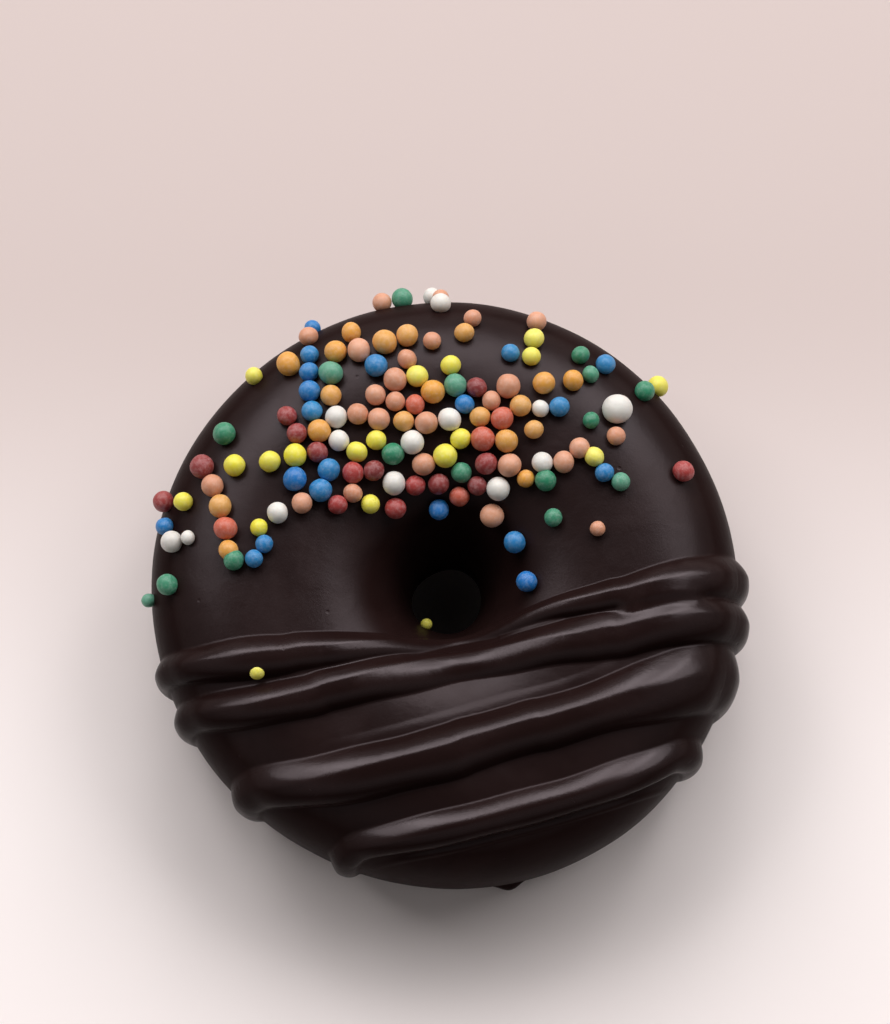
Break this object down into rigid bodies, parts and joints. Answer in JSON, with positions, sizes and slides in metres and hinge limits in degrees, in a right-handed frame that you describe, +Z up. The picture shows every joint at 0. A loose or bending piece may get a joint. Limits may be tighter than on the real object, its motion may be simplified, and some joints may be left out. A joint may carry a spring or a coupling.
{
  "type": "mini doughnut",
  "caption": "Ring-shaped mini doughnut coated in dark chocolate, with thick piped chocolate lines over one half and small round sugar sprinkles over the other.",
  "frame": {"origin": "centre of the footprint, on the surface the doughnut lies on", "axes": "+Z up, along the axis of the doughnut's hole; -Y towards the half with the piped lines, +Y towards the half with the sprinkles"},
  "size_m": [0.0575, 0.0568, 0.0213],
  "materials": {
    "dark_chocolate": "satin dark chocolate"
  },
  "bodies": {
    "root": {"doughnut": "dark_chocolate"}
  },
  "joints": []
}
